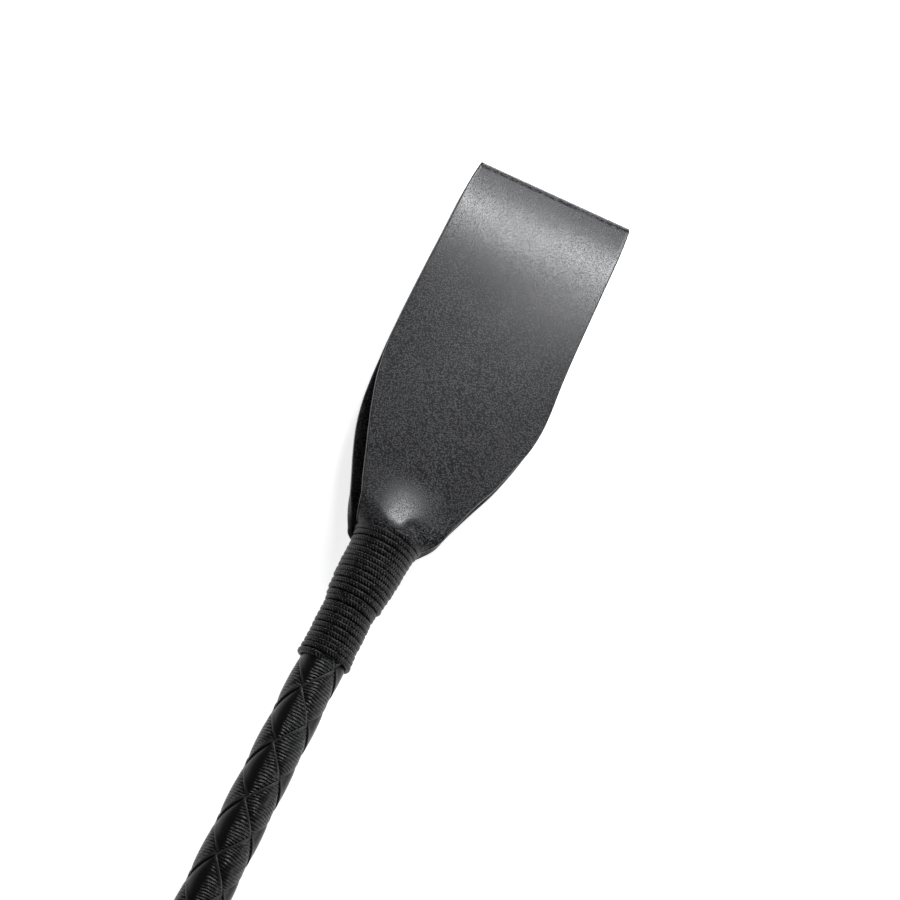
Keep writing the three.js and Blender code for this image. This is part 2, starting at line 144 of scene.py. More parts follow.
def turned(name, profile, material, segments):
    """A surface of revolution: every (x, radius) of the profile goes once round the X axis.
    Its UV runs round the axis from 0 to 1 and along it in millimetres."""
    x, radius = np.array(profile, float).T
    angle = full_turn(segments)
    grid = np.stack([
        np.broadcast_to(x[:, None], (len(x), segments)),
        radius[:, None] * np.cos(angle),
        radius[:, None] * np.sin(angle),
    ], -1)
    return tube(name, grid, material, u=np.arange(segments) / segments, v=x)


def rounded(points, radius, steps=6):
    """A profile with every inner corner rounded off by the same radius."""
    points = np.array(points, float)
    t = np.linspace(0, 1, steps)[:, None]
    path = [points[:1]]
    for before, corner, after in zip(points, points[1:], points[2:]):
        a, b = (corner + (p - corner) / np.linalg.norm(p - corner) * radius
                for p in (before, after))
        path.append((1 - t) ** 2 * a + 2 * t * (1 - t) * corner + t ** 2 * b)
    return np.concatenate([*path, points[-1:]]).tolist()


def ring_of(*rows):
    """Rows of values round a ring, each given by the parts of its first half. The second
    half is the first one's negative."""
    half = np.stack([np.concatenate(row) for row in rows])
    return np.concatenate([half, -half], axis=1)


class Finish:
    """A material under construction: one principled shader, and short ways to add nodes."""

    def __init__(self, name, color, roughness, **sockets):
        self.material = bpy.data.materials.new(name)
        self.material.use_nodes = True
        self.tree = self.material.node_tree
        self.shader = self.tree.nodes["Principled BSDF"]
        self.shader.inputs["Base Color"].default_value = (*color, 1)
        self.shader.inputs["Roughness"].default_value = roughness
        for socket, value in sockets.items():
            self.shader.inputs[socket.replace("_", " ")].default_value = value

    def node(self, kind, **inputs):
        """A node whose inputs are set to values or joined to other nodes' outputs."""
        made = self.tree.nodes.new("ShaderNode" + kind)
        for name, value in inputs.items():
            key = int(name[1:]) if name[1:].isdigit() else name.replace("_", " ")
            self.set(made.inputs[key], value)
        return made

    def set(self, socket, value):
        if isinstance(value, bpy.types.NodeSocket):
            self.tree.links.new(value, socket)
        else:
            socket.default_value = value

    def math(self, operation, a, b=0.0, c=0.0):
        made = self.node("Math", i0=a, i1=b, i2=c)
        made.operation = operation
        return made.outputs[0]

    def times(self, a, b, plus=0.0):
        return self.math("MULTIPLY_ADD", a, b, plus)

    def rest(self, share):
        """What is left of 1."""
        return self.math("SUBTRACT", 1.0, share)

    def place(self, scale=(1, 1, 1), source="Object"):
        """Object coordinates in millimetres, or the UV map, stretched by scale."""
        where = self.node("TexCoord").outputs[source]
        per_mm = 1 / MM if source == "Object" else 1
        return self.node("Mapping", Vector=where, Scale=[s * per_mm for s in scale]).outputs[0]

    def noise(self, place, scale, detail=3.0, roughness=0.5):
        return self.node("TexNoise", Vector=place, Scale=scale, Detail=detail,
                         Roughness=roughness).outputs[0]

    def cells(self, place, scale, smoothness=0.4):
        made = self.node("TexVoronoi", Vector=place, Scale=scale)
        made.feature = "SMOOTH_F1"
        made.inputs["Smoothness"].default_value = smoothness
        return made.outputs["Distance"]

    def split(self, place):
        """The coordinates of a place, each on its own."""
        return self.node("SeparateXYZ", Vector=place).outputs

    def read(self, name):
        """The value that point_values gave the vertices under this name."""
        made = self.node("Attribute")
        made.attribute_name = name
        return made.outputs["Fac"]

    def ramp(self, value, low, high, start=0.0, end=1.0):
        """value from low to high, spread to the range from start to end."""
        return self.node("MapRange", Value=value, **{
            "i1": low, "i2": high, "i3": start, "i4": end}).outputs[0]

    def blend(self, share, first, second):
        made = self.node("Mix")
        made.data_type = "RGBA"
        self.set(made.inputs["Factor"], share)
        colors = [s for s in made.inputs if s.type == "RGBA"]
        for socket, color in zip(colors, (first, second)):
            self.set(socket, (*color, 1) if isinstance(color, tuple) else color)
        return [s for s in made.outputs if s.type == "RGBA"][0]

    def paint(self, color):
        self.set(self.shader.inputs["Base Color"], color)

    def dull(self, roughness):
        self.set(self.shader.inputs["Roughness"], roughness)

    def bump(self, *layers):
        """Bumps laid over each other, each a height and its full depth in millimetres."""
        normal = None
        for height, depth in layers:
            made = self.node("Bump", Height=height, Distance=depth * MM, Strength=1.0)
            if normal is not None:
                self.tree.links.new(normal, made.inputs["Normal"])
            normal = made.outputs[0]
        self.tree.links.new(normal, self.shader.inputs["Normal"])


def grey(level):
    return (level, level, level)


def glass_fibre():
    """Pale resin with fine lengthwise fibres."""
    look = Finish("glass_fibre", (0.52, 0.47, 0.33), 0.35)
    fibres = look.noise(look.place((0.08, 3, 3)), 2.0)
    look.paint(look.blend(fibres, (0.42, 0.37, 0.24), (0.62, 0.58, 0.44)))
    look.bump((fibres, 0.02))
    return look.material


rod_low, rod_high = box_mm("core_rod")
whipping_low, whipping_high = box_mm("tongue_whipping")
neck = whipping_high[0]
shaft_end = whipping_low[0]
rod_butt_radius = rod_high[1]
rod_front_radius = 3.5
rod_tip_radius = 3.1
rod_necking = 4.0  # length of the step down to the tip


def rod_radius(x):
    """The rod tapers evenly to the tongue's whipping and then steps down to its tip."""
    taper = (x - rod_low[0]) / (shaft_end - rod_low[0])
    handle_to_shaft = rod_butt_radius + (rod_front_radius - rod_butt_radius) * taper
    step = np.clip((x - shaft_end) / rod_necking, 0, 1)
    ground = rod_front_radius + (rod_tip_radius - rod_front_radius) * step
    return np.where(x < shaft_end, handle_to_shaft, ground)


rod_x = np.linspace(rod_low[0], rod_high[0] - rod_tip_radius, 60)
rod_turn = np.linspace(0, np.pi / 2, 12)[1:]
rod_profile = [(rod_low[0], on_axis / 2), *zip(rod_x, rod_radius(rod_x))]
rod_profile += [(rod_high[0] - rod_tip_radius * (1 - np.sin(t)),
                 max(rod_tip_radius * np.cos(t), on_axis / 2)) for t in rod_turn]
rod = turned("core_rod_smooth", rod_profile, glass_fibre(), 48)
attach(rod, "shaft")
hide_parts("core_rod")

# ---------- plaited laces
# Six flat laces of black synthetic leather, three each way round, plaited one over one
# under and pulled tight, so that each shows as a row of raised diamonds. Their skin is
# drawn into fine creases round the shaft, on the right-hand ones on one flank only.

plait_lay = 46.0  # length of one full turn of a lace
plait_shift = -2.0
plait_turn = np.radians(24)
plait_slope = np.radians(39)  # of a lace against the shaft
plait_build = 2.25  # thickness of the plait on the rod
plait_depth = 0.5  # of its middle under its highest laces
lace_thickness = 1.0
lace_sink = 0.55  # how far a lace's middle rises and falls about the plait's middle
lace_width = 0.97  # share of its pitch
lace_crown = 0.30  # how much lower its edges are than its middle
lace_lip = 0.14  # height of the turned edge
lace_bulge = 0.10  # of the cut edge
lace_square = 1.9  # how abruptly a lace rises and falls
lace_rings = 26  # to a crossing
lace_steps = 25  # across its face
lace_start, lace_end = box_mm("plait_lace_1")[0][0] + 1, neck - 2
crossing = plait_lay / 6


def ease(value, low, high):
    """0 below low, 1 above high, and a smooth S between."""
    t = np.clip((value - low) / (high - low), 0, 1)
    return t * t * (3 - 2 * t)


def plait_radius(x):
    """Outside of the plait: the rod plus two laces."""
    return rod_radius(x) + plait_build


def point_values(piece, name, values):
    """Gives every vertex a value that a material can read by name."""
    attribute = piece.data.attributes.new(name, "FLOAT", "POINT")
    attribute.data.foreach_set("value", np.asarray(values, np.float32).ravel())


def lace(name, own, right_handed, material):
    """A place on the plait is counted in laces across each family. A lace keeps its own
    number and runs along the other family's; it is high at crossings where it lies on top
    and low where it dives, as a rounded square wave, and its turned edges stand up."""
    side = 1 if right_handed else -1
    levels = np.arange((lace_start - plait_shift) / crossing,
                       (lace_end - plait_shift) / crossing, 1 / lace_rings)
    edge = np.linspace(0, np.pi, 7)[1:-1]
    flat = np.linspace(-1, 1, lace_steps)
    ones, zeros = np.ones_like(flat), np.zeros_like(flat)
    across, lift, swell = ring_of((flat, np.ones(5)), (ones, np.cos(edge)),
                                  (zeros, np.sin(edge)))
    off_middle = np.abs(across)
    level = levels[:, None]
    wide = across * lace_width / 2
    x = plait_shift + (level - wide) * crossing
    turn = plait_turn + side * (2 * own + level + wide) * np.pi / 3
    phase = 0 if right_handed else 1
    wave = np.tanh(lace_square * np.cos(np.pi * (level - phase))) / np.tanh(lace_square)
    on_top = np.clip(wave + 0.4, 0, 1)
    crown = lace_crown * (0.4 - off_middle ** 2.4) * on_top
    lip = lace_lip * ease(off_middle, 0.84, 0.96) * on_top
    radius = (plait_radius(x) - lace_thickness / 2 - plait_depth + lace_sink * wave + crown
              + lip + lace_thickness / 2 * lift)
    bulge = lace_bulge * swell
    x = x - bulge * 0.6
    turn = turn + side * bulge / radius * 0.8
    grid = polar(x, radius, turn)
    along = levels * crossing / np.cos(plait_slope)
    strand = tube(name, grid, material, u=across, v=along)
    top = phase + 2 * np.round((level - phase) / 2)
    flank = ease(-side * (level - top + wide), -0.02, 0.16)
    point_values(strand, "creased", flank if right_handed else 0.85 + 0.15 * flank)
    point_values(strand, "turned_edge",
                 np.broadcast_to(ease(off_middle, 0.86, 0.95), grid.shape[:2]))
    return strand


def lace_leather():
    """Satin black leather cloth: fine creases round the shaft, crossed by fainter ones
    along it, where the attribute creased is 1, and smooth elsewhere. The creases' crests
    are painted lighter as painted highlights, and the turned edges a paler grey as a
    painted highlight."""
    look = Finish("lace_leather", (0.011, 0.011, 0.012), 0.36, Specular_IOR_Level=0.26)
    place = look.place()
    warp = look.noise(place, 0.16, 1.0)
    rib_at = look.times(warp, 1.6, look.split(place)[0])
    rib = look.math("SINE", look.times(rib_at, 2 * np.pi / 0.78))
    across = look.split(look.place(source="UV"))[0]
    cross = look.math("SINE", look.times(across, 17.0))
    creased, edge = look.read("creased"), look.read("turned_edge")
    patch = look.ramp(look.noise(place, 0.25, 2.0), 0.36, 0.52, 0.35, 1.0)
    strength = look.times(patch, creased)
    strength = look.times(strength, look.rest(edge))
    ribs = look.times(look.times(cross, 0.35, rib), strength)
    look.bump((ribs, 0.10), (look.noise(place, 2.4, 3.0), 0.02))
    # painted highlight: the crests of the creases are painted lighter where creased is 1
    lit_crest = look.times(look.ramp(ribs, 0.1, 0.95), creased)
    color = look.blend(lit_crest, grey(0.002), (0.060, 0.060, 0.062))
    # painted highlight: the turned edges are painted a paler grey line
    look.paint(look.blend(edge, color, (0.036, 0.036, 0.037)))
    return look.material


lace_finish = lace_leather()
for own in range(3):
    for first, right_handed in ((1, True), (4, False)):
        node = f"plait_lace_{own + first}"
        strand = lace(f"{node}_woven", own, right_handed, lace_finish)
        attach(strand, "shaft")
        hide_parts(node)

# ---------- tongue
# One strip of smooth black synthetic leather, folded over at the far end. Its two tails
# are pared thin and bound down on the end of the plait, and the leaves open out over the
# rod's rounded end into a flat, springy flap. It is cut by hand and not quite even.

tongue_low, tongue_high = box_mm("tongue")
tongue_length = tongue_high[0] - neck
tail_length = neck - tongue_low[0]
leather = 1.8
tail_angle = np.radians(74)
fold_bend = 2.7  # length of the leather in one half of the tight bend
fold_slope = 0.155  # how steeply a leaf still runs into the bend
fold_ease = 13.0  # length over which that slope dies away
fold_skew = 0.062  # of the fold against the shaft
snug = 0.15  # gap between the plait and the leather on it
swelling_width = 9.0  # of the swelling over the rod's rounded end
swelling_height = 6.9
swelling_length = 15.0
sag = 0.5  # how far the flap's edges hang where it is widest
sag_past, sag_reach = 40, 20
dent_past, dent_left = 1.6, -5.6  # the dent beside the rod's end
dent_length, dent_width = 1.8, 2.1
dent_front, dent_back = 1.1, 0.3  # its depth in either leaf
wave_height, wave_length, wave_width = 0.12, 13, 9

# half widths to the left and right of the middle line, front leaf and back leaf, at
# distances past the whipping
outline_at = [-20, -3, 0, 3, 9, 16, 22, 29, 35, 41, 46, 53, 80, 96, 101]
front_left = [8, 8, 8.4, 9.5, 11.9, 14.4, 16.6, 18.9, 20.5, 21.5, 22, 22.2, 22.3, 22.1, 21.6]
front_right = [8, 8, 9.6, 12.0, 14.1, 16.4, 18.8, 20.8, 22.4, 23.1, 23, 22.4, 21.3, 20.8, 20.4]
back_left = [8, 8.8, 10.1, 11.3, 13.8, 16.8, 19.0, 20.6, 21.3, 21.7, *front_left[10:]]
back_right = [8, 8, 10, 12.0, 14.2, 16.8, 19.1, 21.1, *front_right[8:]]


def flowing(knots, values, at):
    """A smooth line through the given values: between two knots it is the cubic whose
    slopes follow the neighbours."""
    knots, values = np.array(knots, float), np.array(values, float)
    slopes = np.gradient(values, knots)
    k = np.clip(np.searchsorted(knots, at) - 1, 0, len(knots) - 2)
    step = knots[k + 1] - knots[k]
    t = np.clip((at - knots[k]) / step, 0, 1)
    ends = values[k] * (1 + 2 * t) * (1 - t) ** 2 + values[k + 1] * t * t * (3 - 2 * t)
    return ends + step * (slopes[k] * t * (1 - t) ** 2 - slopes[k + 1] * t * t * (1 - t))


def fold_profile(half_length):
    """Distance along the strip from the fold's apex, with the height above the middle
    plane and the distance back from the apex there. The slope falls evenly round the tight
    bend and then dies away, so the leaves belly out a little behind the fold."""
    along = np.linspace(0, half_length, 4000)
    tight = np.pi / 2 + (fold_slope - np.pi / 2) * along / fold_bend
    loose = fold_slope * np.exp(-((along - fold_bend) / fold_ease) ** 2)
    slope = np.where(along < fold_bend, tight, loose)
    step = along[1] - along[0]
    height = np.concatenate([[0], np.cumsum(np.sin((slope[1:] + slope[:-1]) / 2)) * step])
    behind = np.concatenate([[0], np.cumsum(np.cos((slope[1:] + slope[:-1]) / 2)) * step])
    return along, height, behind


fold_extra = 1.9  # leather that goes into one half of the fold
half_length = tongue_length + tail_length + fold_extra
profile_along, profile_height, profile_behind = fold_profile(half_length)
leaf_height = profile_height[-1]


def strip_thickness(past):
    """The tails are pared down towards their ends."""
    return 0.5 + 0.6 * ease(past, -tail_length, -8) + 0.7 * ease(past, -7, 3)


def tail_radius(past):
    """Radius of a tail's middle line where it lies round the plait."""
    return plait_radius(neck + past) + snug + strip_thickness(past) / 2


def tongue_middle(along, across):
    """The strip's middle surface. along runs from the upper tail's end, negative, over the
    fold at 0 to the lower tail's end; across runs from -1 to 1, towards the left. The
    leaves follow the fold's profile, and rise to arcs round the plait at the neck."""
    upper = along < 0
    reach = np.abs(along)
    height = np.interp(reach, profile_along, profile_height)
    past = tongue_length - leather / 2 - np.interp(reach, profile_along, profile_behind)
    left = np.where(upper, flowing(outline_at, front_left, past),
                    flowing(outline_at, back_left, past))
    right = np.where(upper, flowing(outline_at, front_right, past),
                     flowing(outline_at, back_right, past))
    y = np.where(across > 0, left, right) * across
    dying = np.clip(1 - past / swelling_length, 0, 1) ** 1.5
    swelling = (swelling_height - leaf_height) * dying
    sagging = sag * np.exp(-((past - sag_past) / sag_reach) ** 2) * (y / sag_reach) ** 2
    dent = np.exp(-((past - dent_past) / dent_length) ** 2 - ((y - dent_left) / dent_width) ** 2)
    dent = np.where(upper, dent_front, dent_back) * dent
    waves = wave_height * np.sin(past / wave_length + 1.0) * np.sin(y / wave_width + 0.4)
    waves = waves * ease(reach, 6, 30)
    z = height + swelling * np.exp(-(y / swelling_width) ** 2) - sagging - dent + waves
    angle = across * tail_angle
    opened = ease(past, np.where(upper, -2.6, -6.0), np.where(upper, 0.2, -3.2))
    flattened = ease(past + 3.0 * (1 - across ** 2), -1.5, 6.0)
    around = tail_radius(past)
    y = around * np.sin(angle) * (1 - opened) + y * opened
    z = around * np.cos(angle) * (1 - flattened) + z * flattened
    x = neck + past - fold_skew * ease(past, 30, tongue_length) * y
    z = np.where(upper, z, -z)
    return np.stack(np.broadcast_arrays(x, y, z), -1)


def unit(vectors):
    """The same directions, all of length 1."""
    return vectors / np.linalg.norm(vectors, axis=-1, keepdims=True)


def tongue_strip(name, material):
    """The middle surface given its thickness, with rounded cut edges. UV is the strip laid
    flat, in millimetres; the attribute cut_edge is 1 on the cut edges."""
    near_fold = 5.0  # where the rows lie closer
    bevel = 0.42
    uv_half_width = 22
    leaf = np.linspace(0, 1, 250)[1:] ** 0.9 * (half_length - near_fold) + near_fold
    bend = np.linspace(-near_fold, near_fold, 51)
    along = np.concatenate([-leaf[::-1], bend, leaf])[:, None]
    corner = np.linspace(0, np.pi / 2, 6)
    flat = np.linspace(-1, 1, 61)
    zeros, ones, six = np.zeros_like(flat), np.ones_like(flat), np.ones(6)
    out = bevel * np.sin(corner)
    up = bevel * (np.cos(corner) - 1)
    across, sideways, lift, sink = ring_of(
        (flat, six, six), (zeros, out, out[::-1]), (ones, six, -six), (zeros, up, -up[::-1]))
    cut = np.concatenate([zeros, corner > 0.5, corner[::-1] > 0.5] * 2)
    inset = np.broadcast_to(across[None], (len(along), len(across))) * 0.98
    middle = tongue_middle(along, inset)
    step_along, step_across = 0.02, 0.002
    along_way = (tongue_middle(along + step_along, inset)
                 - tongue_middle(along - step_along, inset))
    side_way = unit(tongue_middle(along, inset + step_across)
                    - tongue_middle(along, inset - step_across))
    normal = unit(np.cross(along_way, side_way))
    past = tongue_length - np.interp(np.abs(along), profile_along, profile_behind)
    half = strip_thickness(past) / 2
    grid = (middle + side_way * sideways[None, :, None]
            + normal * (half * lift[None] + sink[None])[..., None])
    strip = tube(name, grid, material, u=across * uv_half_width, v=along[:, 0])
    point_values(strip, "cut_edge", np.tile(cut, len(along)))
    width = np.linalg.norm(np.diff(middle[:, :len(flat)], axis=1), axis=2).sum(axis=1)
    run = np.linalg.norm(np.diff(middle[:, len(flat) // 2], axis=0), axis=1)
    area = float(np.sum((width[1:] + width[:-1]) / 2 * run))
    return strip, float(width.max()), float(run.sum()), area


def tongue_leather():
    """Smooth black leather cloth: a fine pebble grain lying in rows across the strip, its
    crests painted lighter as painted highlights and its pits near black as painted shade,
    a faint mottle in its gloss, and painted cut edges that are smoother and a shade paler."""
    look = Finish("tongue_leather", (0.016, 0.016, 0.018), 0.30, Specular_IOR_Level=0.36)
    place = look.place()
    stir = look.node("TexNoise", Vector=place, Scale=0.7, Detail=1.0).outputs["Color"]
    stirred = look.node("VectorMath", i0=stir, i1=(0.5, 0.5, 0.5),
                        i2=look.place((3.2, 2.1, 2.6)))
    stirred.operation = "MULTIPLY_ADD"
    pebble = look.cells(stirred.outputs[0], 1.0, smoothness=0.25)
    fine = look.noise(place, 3.2, 2.0)
    mottle = look.noise(place, 0.12, 3.0)
    on_edge = look.read("cut_edge")
    # grain pattern plus painted light: pebble crests are painted lighter as highlights and pits
    # near black as painted shade
    lit_crest = look.ramp(pebble, 0.34, 0.50, 1.0, 0.0)
    grain = look.blend(lit_crest, (0.0002, 0.0002, 0.0004), (0.064, 0.064, 0.069))
    look.paint(look.blend(on_edge, grain, grey(0.016)))
    rough = look.ramp(mottle, 0.3, 0.7, 0.30, 0.33)
    look.dull(look.times(lit_crest, -0.07, rough))
    height = look.times(lit_crest, look.rest(on_edge))
    look.bump((height, 0.045), (fine, 0.004))
    return look.material


tongue_piece, flat_width, flat_length, flat_area = tongue_strip(
    "tongue_folded", tongue_leather())
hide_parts("tongue")
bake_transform(tongue_piece)

# ---------- whippings
# One braided nylon cord, wound tight in touching turns. One length binds the tongue's
# tails down on the plait, and another binds the front of the handle's cover. Each turn
# shows two rows of slanting stitches.

cord_radius = 0.78
cord_flat = 0.95  # the wound cord is pressed a little flat
cord_valley = 0.10  # depth of the valley along its top, a share of its radius
wander_along, wander_out = 0.16, 0.09  # of the turns
tuck_depth, tuck_share = 1.0, 0.09  # of the ends, within this share of a turn
cord_steps = 150  # to a turn
tail_spread = 0.5
right_lean = 0.65  # of the whipping over the tails


def rings(center, outward, phi, wide, high):
    """Points round a path, at every angle phi wide * cos sideways and high * sin out."""
    forward = unit(np.gradient(center, axis=-2))
    sideways = unit(np.cross(forward, outward))
    outward = np.cross(sideways, forward)
    return (center[..., None, :] + sideways[..., None, :] * (wide * np.cos(phi))[:, None]
            + outward[..., None, :] * (high * np.sin(phi))[:, None])


def braided_cord(name, start, end, turns, bed_radius, offset, material, seed):
    """A helix whose radius follows what lies under it, shifted sideways by offset(x). Its
    turns wander a little, and both ends dive under their neighbours. The UV runs round
    the cord from 0 to 1 and along it in millimetres."""
    count = turns * cord_steps + 1
    turn = np.linspace(0, 2 * np.pi * turns, count)
    nudge = np.random.default_rng(seed).normal(0, 1, (turns * 2 + 4, 2))
    share = turn / (2 * np.pi)
    base = np.floor(share * 2).astype(int)
    mix = ease(share * 2 - base, 0, 1)[:, None]
    drift = nudge[base] * (1 - mix) + nudge[base + 1] * mix
    x = start + (end - start) * share / turns + wander_along * drift[:, 0]
    radius = bed_radius(x) + cord_radius * cord_flat + wander_out * drift[:, 1]
    tucked = 1 - ease(share, 0, tuck_share) + ease(share, turns - tuck_share, turns)
    radius = radius - tuck_depth * tucked
    center = polar(x, radius, turn)
    center[:, 1] += offset(x)
    along = np.concatenate([[0], np.cumsum(np.linalg.norm(np.diff(center, axis=0), axis=1))])
    phi = full_turn(16)
    size = cord_radius * (1 - cord_valley * np.exp(-((phi - np.pi / 2) / 0.28) ** 2))
    grid = rings(center, polar(0, 1, turn), phi, size, size * cord_flat)
    return tube(name, grid, material, u=phi / (2 * np.pi), v=along)


def braided_nylon():
    """Black nylon: on either side of a valley along the cord's top runs a row of stitches,
    slanting towards it, each a bundle of fine filaments. The stitches' crests are painted
    lighter as painted highlights, and the valley and the gaps almost black as painted shade."""
    look = Finish("braided_nylon", (0.008, 0.008, 0.0085), 0.42, Specular_IOR_Level=0.2)
    round_cord, along = look.split(look.place(source="UV"))[:2]
    from_top = look.math("ABSOLUTE", look.math("SUBTRACT", round_cord, 0.25))
    side = look.math("GREATER_THAN", round_cord, 0.25)
    shifted = look.times(side, 0.5, look.times(along, 1 / 0.74))
    stitch_at = look.times(from_top, 3.2, shifted)
    stitch = look.math("SINE", look.times(stitch_at, 2 * np.pi))
    stitch = look.ramp(stitch, 0.2, 0.85)
    valley = look.ramp(from_top, 0.015, 0.05)
    height = look.times(stitch, valley)
    uneven = look.noise(look.place(), 1.1, 2.0)
    fibre = look.noise(look.place(), 7.0, 2.0)
    # painted highlight on the stitch crests, painted shade in the valley and between stitches
    color = look.blend(height, grey(0.0003), (0.120, 0.120, 0.123))
    look.paint(look.blend(look.ramp(uneven, 0.60, 0.40), color, grey(0.002)))
    look.bump((height, 0.20), (fibre, 0.02))
    return look.material


def tongue_bed(x):
    """What the tongue's whipping lies on: the plait, and then the pared tails, which
    spread a little before they leave it."""
    past = x - neck
    plait = plait_radius(x) - 0.12
    tails = tail_radius(past) + strip_thickness(past) / 2 + 0.05
    on_tails = ease(past, -tail_length - 2.2, -tail_length)
    spread = tail_spread * ease(past, -4, 0)
    return plait + (tails - plait) * on_tails + spread


def tongue_offset(x):
    """The bundle of tails stands out a little to the right near the tongue."""
    return -right_lean * ease(x, tongue_low[0] - 4, neck)


cord_finish = braided_nylon()
turn_inset = 0.55  # of the end turns' middle
tongue_whipping = braided_cord("tongue_whipping_cord", shaft_end + turn_inset,
                               neck - turn_inset, 24, tongue_bed, tongue_offset, cord_finish, 5)
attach(tongue_whipping, "shaft")
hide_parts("tongue_whipping")

# ---------- handle's cover
# A sleeve of closed-cell foam on the plaited rod, and over it a cover of fine-grained
# black leather, sewn edge to edge along the underside and bound down at its front.

grip_low, grip_high = box_mm("grip_leather")
sleeve_low, sleeve_high = box_mm("grip_sleeve")
grip_radius = grip_high[1]
cover = 1.4  # thickness
shoulder_length = 12.0
seam_depth, seam_width = 0.55, 0.45
dimple_depth, dimple_width = 0.20, 0.8
stitch_pitch = 4.0
stitch_reach = 1.9  # to either side of the seam
stitch_depth, stitch_height = 0.75, 1.05  # of its ends, and of its middle over them
stitch_cross = 0.14  # how much higher the upper stitch lies
thread_radius = 0.38
seam_turn = np.pi  # the seam runs along the underside


def cover_front(x):
    """Outside of the cover where it is bound down on the plait."""
    return plait_radius(x) + snug + cover


def cover_profile():
    """Straight over the sleeve, an S-shaped shoulder, and straight again under the
    whipping; then back inside, a cover's thickness lower."""
    shoulder = sleeve_high[0]
    low = shoulder + shoulder_length
    front = grip_high[0]
    x = np.concatenate([np.linspace(grip_low[0] + 0.4, shoulder, 60),
                        np.linspace(shoulder + 0.5, low, 26),
                        np.linspace(low + 0.5, front - 0.5, 14)])
    outside = grip_radius + (cover_front(x) - grip_radius) * ease(x, shoulder - 1, low)
    rim = [(front, outside[-1] - 0.35), (front, outside[-1] - cover + 0.1)]
    start = [(grip_low[0], outside[0] - cover), (grip_low[0], outside[0] - 0.4)]
    inside = [(a, b - cover) for a, b in zip(x[::-1], outside[::-1])]
    return start + list(zip(x, outside)) + rim + inside[1:-1]


def facing_out(points, faces):
    return faces if volume(points, faces) > 0 else faces[:, ::-1]


def hoop(name, profile, material, segments, dent=None):
    """A closed profile turned round the X axis, so that it keeps its bore. dent lowers the
    surface by so much for every x and turn."""
    x, radius = np.array(profile, float).T
    angle = full_turn(segments)[:, None]
    radius = np.broadcast_to(radius, (segments, len(x)))
    if dent is not None:
        radius = radius - dent(x[None], angle)
    points = polar(x, radius, angle).reshape(-1, 3) * MM
    index = np.arange(radius.size).reshape(radius.shape)
    right, below = np.roll(index, -1, axis=1), np.roll(index, -1, axis=0)
    faces = np.stack([index, right, np.roll(below, -1, axis=1), below], -1).reshape(-1, 4)
    return new_piece(name, points, facing_out(points, faces), material)


def seam_groove(x, angle):
    """The two edges of the cover roll in towards the seam between them, and the thread
    pulls a small dimple at every stitch."""
    away = np.abs(angle - seam_turn) * grip_radius
    pull = 0.5 + 0.5 * np.cos(2 * np.pi * x / stitch_pitch)
    dimple = dimple_depth * pull * np.exp(-((away - stitch_reach) / dimple_width) ** 2)
    return seam_depth * np.exp(-(away / seam_width) ** 2) + dimple


def grip_leather():
    """Fine-grained black leather, a little glossier where a hand has worn it."""
    look = Finish("grip_leather", (0.016, 0.016, 0.017), 0.46)
    place = look.place()
    grain = look.ramp(look.cells(place, 1.1, smoothness=0.3), 0.12, 0.6, 1.0, 0.0)
    wrinkle = look.noise(look.place((0.35, 1, 1)), 0.5, 3.0)
    worn = look.ramp(look.noise(place, 0.035, 2.0), 0.35, 0.65)
    look.dull(look.ramp(worn, 0.0, 1.0, 0.52, 0.40))
    look.paint(look.blend(grain, grey(0.004), (0.019, 0.019, 0.020)))
    look.bump((grain, 0.09), (wrinkle, 0.10))
    return look.material


def foam():
    """Dark grey closed-cell foam, pitted with cut cells."""
    look = Finish("sleeve_foam", (0.030, 0.030, 0.032), 0.9)
    pits = look.cells(look.place(), 1.6)
    look.paint(look.blend(pits, (0.012, 0.012, 0.013), (0.045, 0.045, 0.048)))
    look.bump((pits, 0.25))
    return look.material


def waxed_thread():
    """Black waxed thread, twisted from fine strands."""
    look = Finish("waxed_thread", (0.022, 0.022, 0.023), 0.5)
    turn, along = look.split(look.place(source="UV"))[:2]
    twist = look.times(along, 7.0)
    strand = look.math("SINE", look.times(turn, 2 * np.pi * 2, twist))
    look.paint(look.blend(look.ramp(strand, -1, 1), grey(0.008), (0.030, 0.030, 0.031)))
    look.bump((strand, 0.06))
    return look.material


def stitches(name, material):
    """Cross stitches over the seam: from each hole the thread crosses to the next hole on
    the other side. Each is a short arched tube that dives into the leather at both ends."""
    count = int((sleeve_high[0] - grip_low[0] - 20) / stitch_pitch)
    first = grip_low[0] + 18
    t = np.linspace(0, 1, 9)
    step = np.arange(count * 2)[:, None]
    odd = step % 2
    x = first + step // 2 * stitch_pitch + stitch_pitch * t
    away = (1 - 2 * odd) * stitch_reach * (1 - 2 * t)
    arch = (stitch_height + stitch_cross * (1 - odd)) * np.sin(np.pi * t) ** 0.6
    radius = grip_radius + arch - stitch_depth
    turn = seam_turn + away / grip_radius
    center = polar(x, radius, turn)
    grid = rings(center, polar(0, 1, turn), full_turn(6), thread_radius, thread_radius)
    made, rows, columns = grid.shape[:3]
    points = grid.reshape(-1, 3) * MM
    one = tube_faces(rows, columns)[:, [0, 3, 2, 1]]
    faces = (one + np.arange(made)[:, None, None] * rows * columns).reshape(-1, 4)
    own_middle = np.repeat(center.mean(axis=1), rows * columns, axis=0) * MM
    return new_piece(name, points, facing_out(points - own_middle, faces), material)


cover_piece = hoop("grip_leather_cover", cover_profile(), grip_leather(), 360, seam_groove)
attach(cover_piece, "shaft")
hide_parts("grip_leather")

